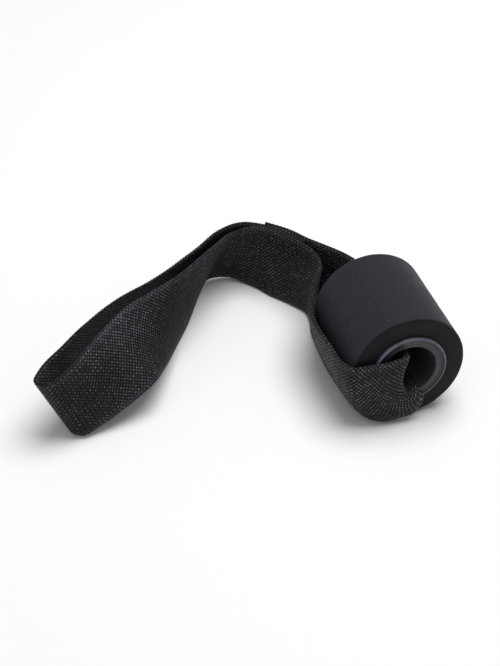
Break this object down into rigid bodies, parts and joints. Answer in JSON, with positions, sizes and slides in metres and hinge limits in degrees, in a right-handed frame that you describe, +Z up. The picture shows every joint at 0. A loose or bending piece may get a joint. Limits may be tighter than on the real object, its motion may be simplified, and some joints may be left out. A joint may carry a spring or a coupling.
{
  "type": "door anchor strap",
  "caption": "Webbing door anchor: a strap runs through a foam-covered roller on a plastic core and ends in a sewn loop that holds an exercise band, cord or pulley.",
  "frame": {"origin": "on the ground under the middle of the bounding box", "axes": "+Z up from the surface the part lies on, +X from the sewn loop's tip towards the roller, the roller turns about an axis along Y"},
  "size_m": [0.1395, 0.1001, 0.039],
  "materials": {
    "foam": "matte closed-cell foam",
    "core_plastic": "satin moulded plastic",
    "ring_plastic": "semi-gloss moulded plastic",
    "webbing": "woven black webbing",
    "thread": "black sewing thread"
  },
  "bodies": {
    "strap": {"webbing_far_leg": "webbing", "webbing_bore_run": "webbing", "webbing_face_turn": "webbing", "webbing_flank": "webbing", "webbing_neck_front": "webbing", "webbing_neck_tail": "webbing", "needle_thread": "thread", "bobbin_thread": "thread"},
    "roller": {"foam_sleeve": "foam", "core_tube": "core_plastic", "end_ring_near": "ring_plastic", "end_ring_far": "ring_plastic"},
    "band_loop": {"webbing_front_layer": "webbing", "webbing_loop_tip": "webbing", "webbing_back_layer": "webbing"}
  },
  "joints": [
    {"name": "roller_spin", "type": "hinge", "parent": "strap", "child": "roller", "pos_m": [0.05037, -0.0254, 0.0195], "axis": [0, 1, 0], "continuous": true},
    {"name": "band_loop_swing", "type": "hinge", "parent": "strap", "child": "band_loop", "pos_m": [0.01967, 0.0446, 0.0125], "axis": [0, 0, 1], "range_deg": [-20, 20], "stiffness_Nm_per_rad": 0.01}
  ]
}
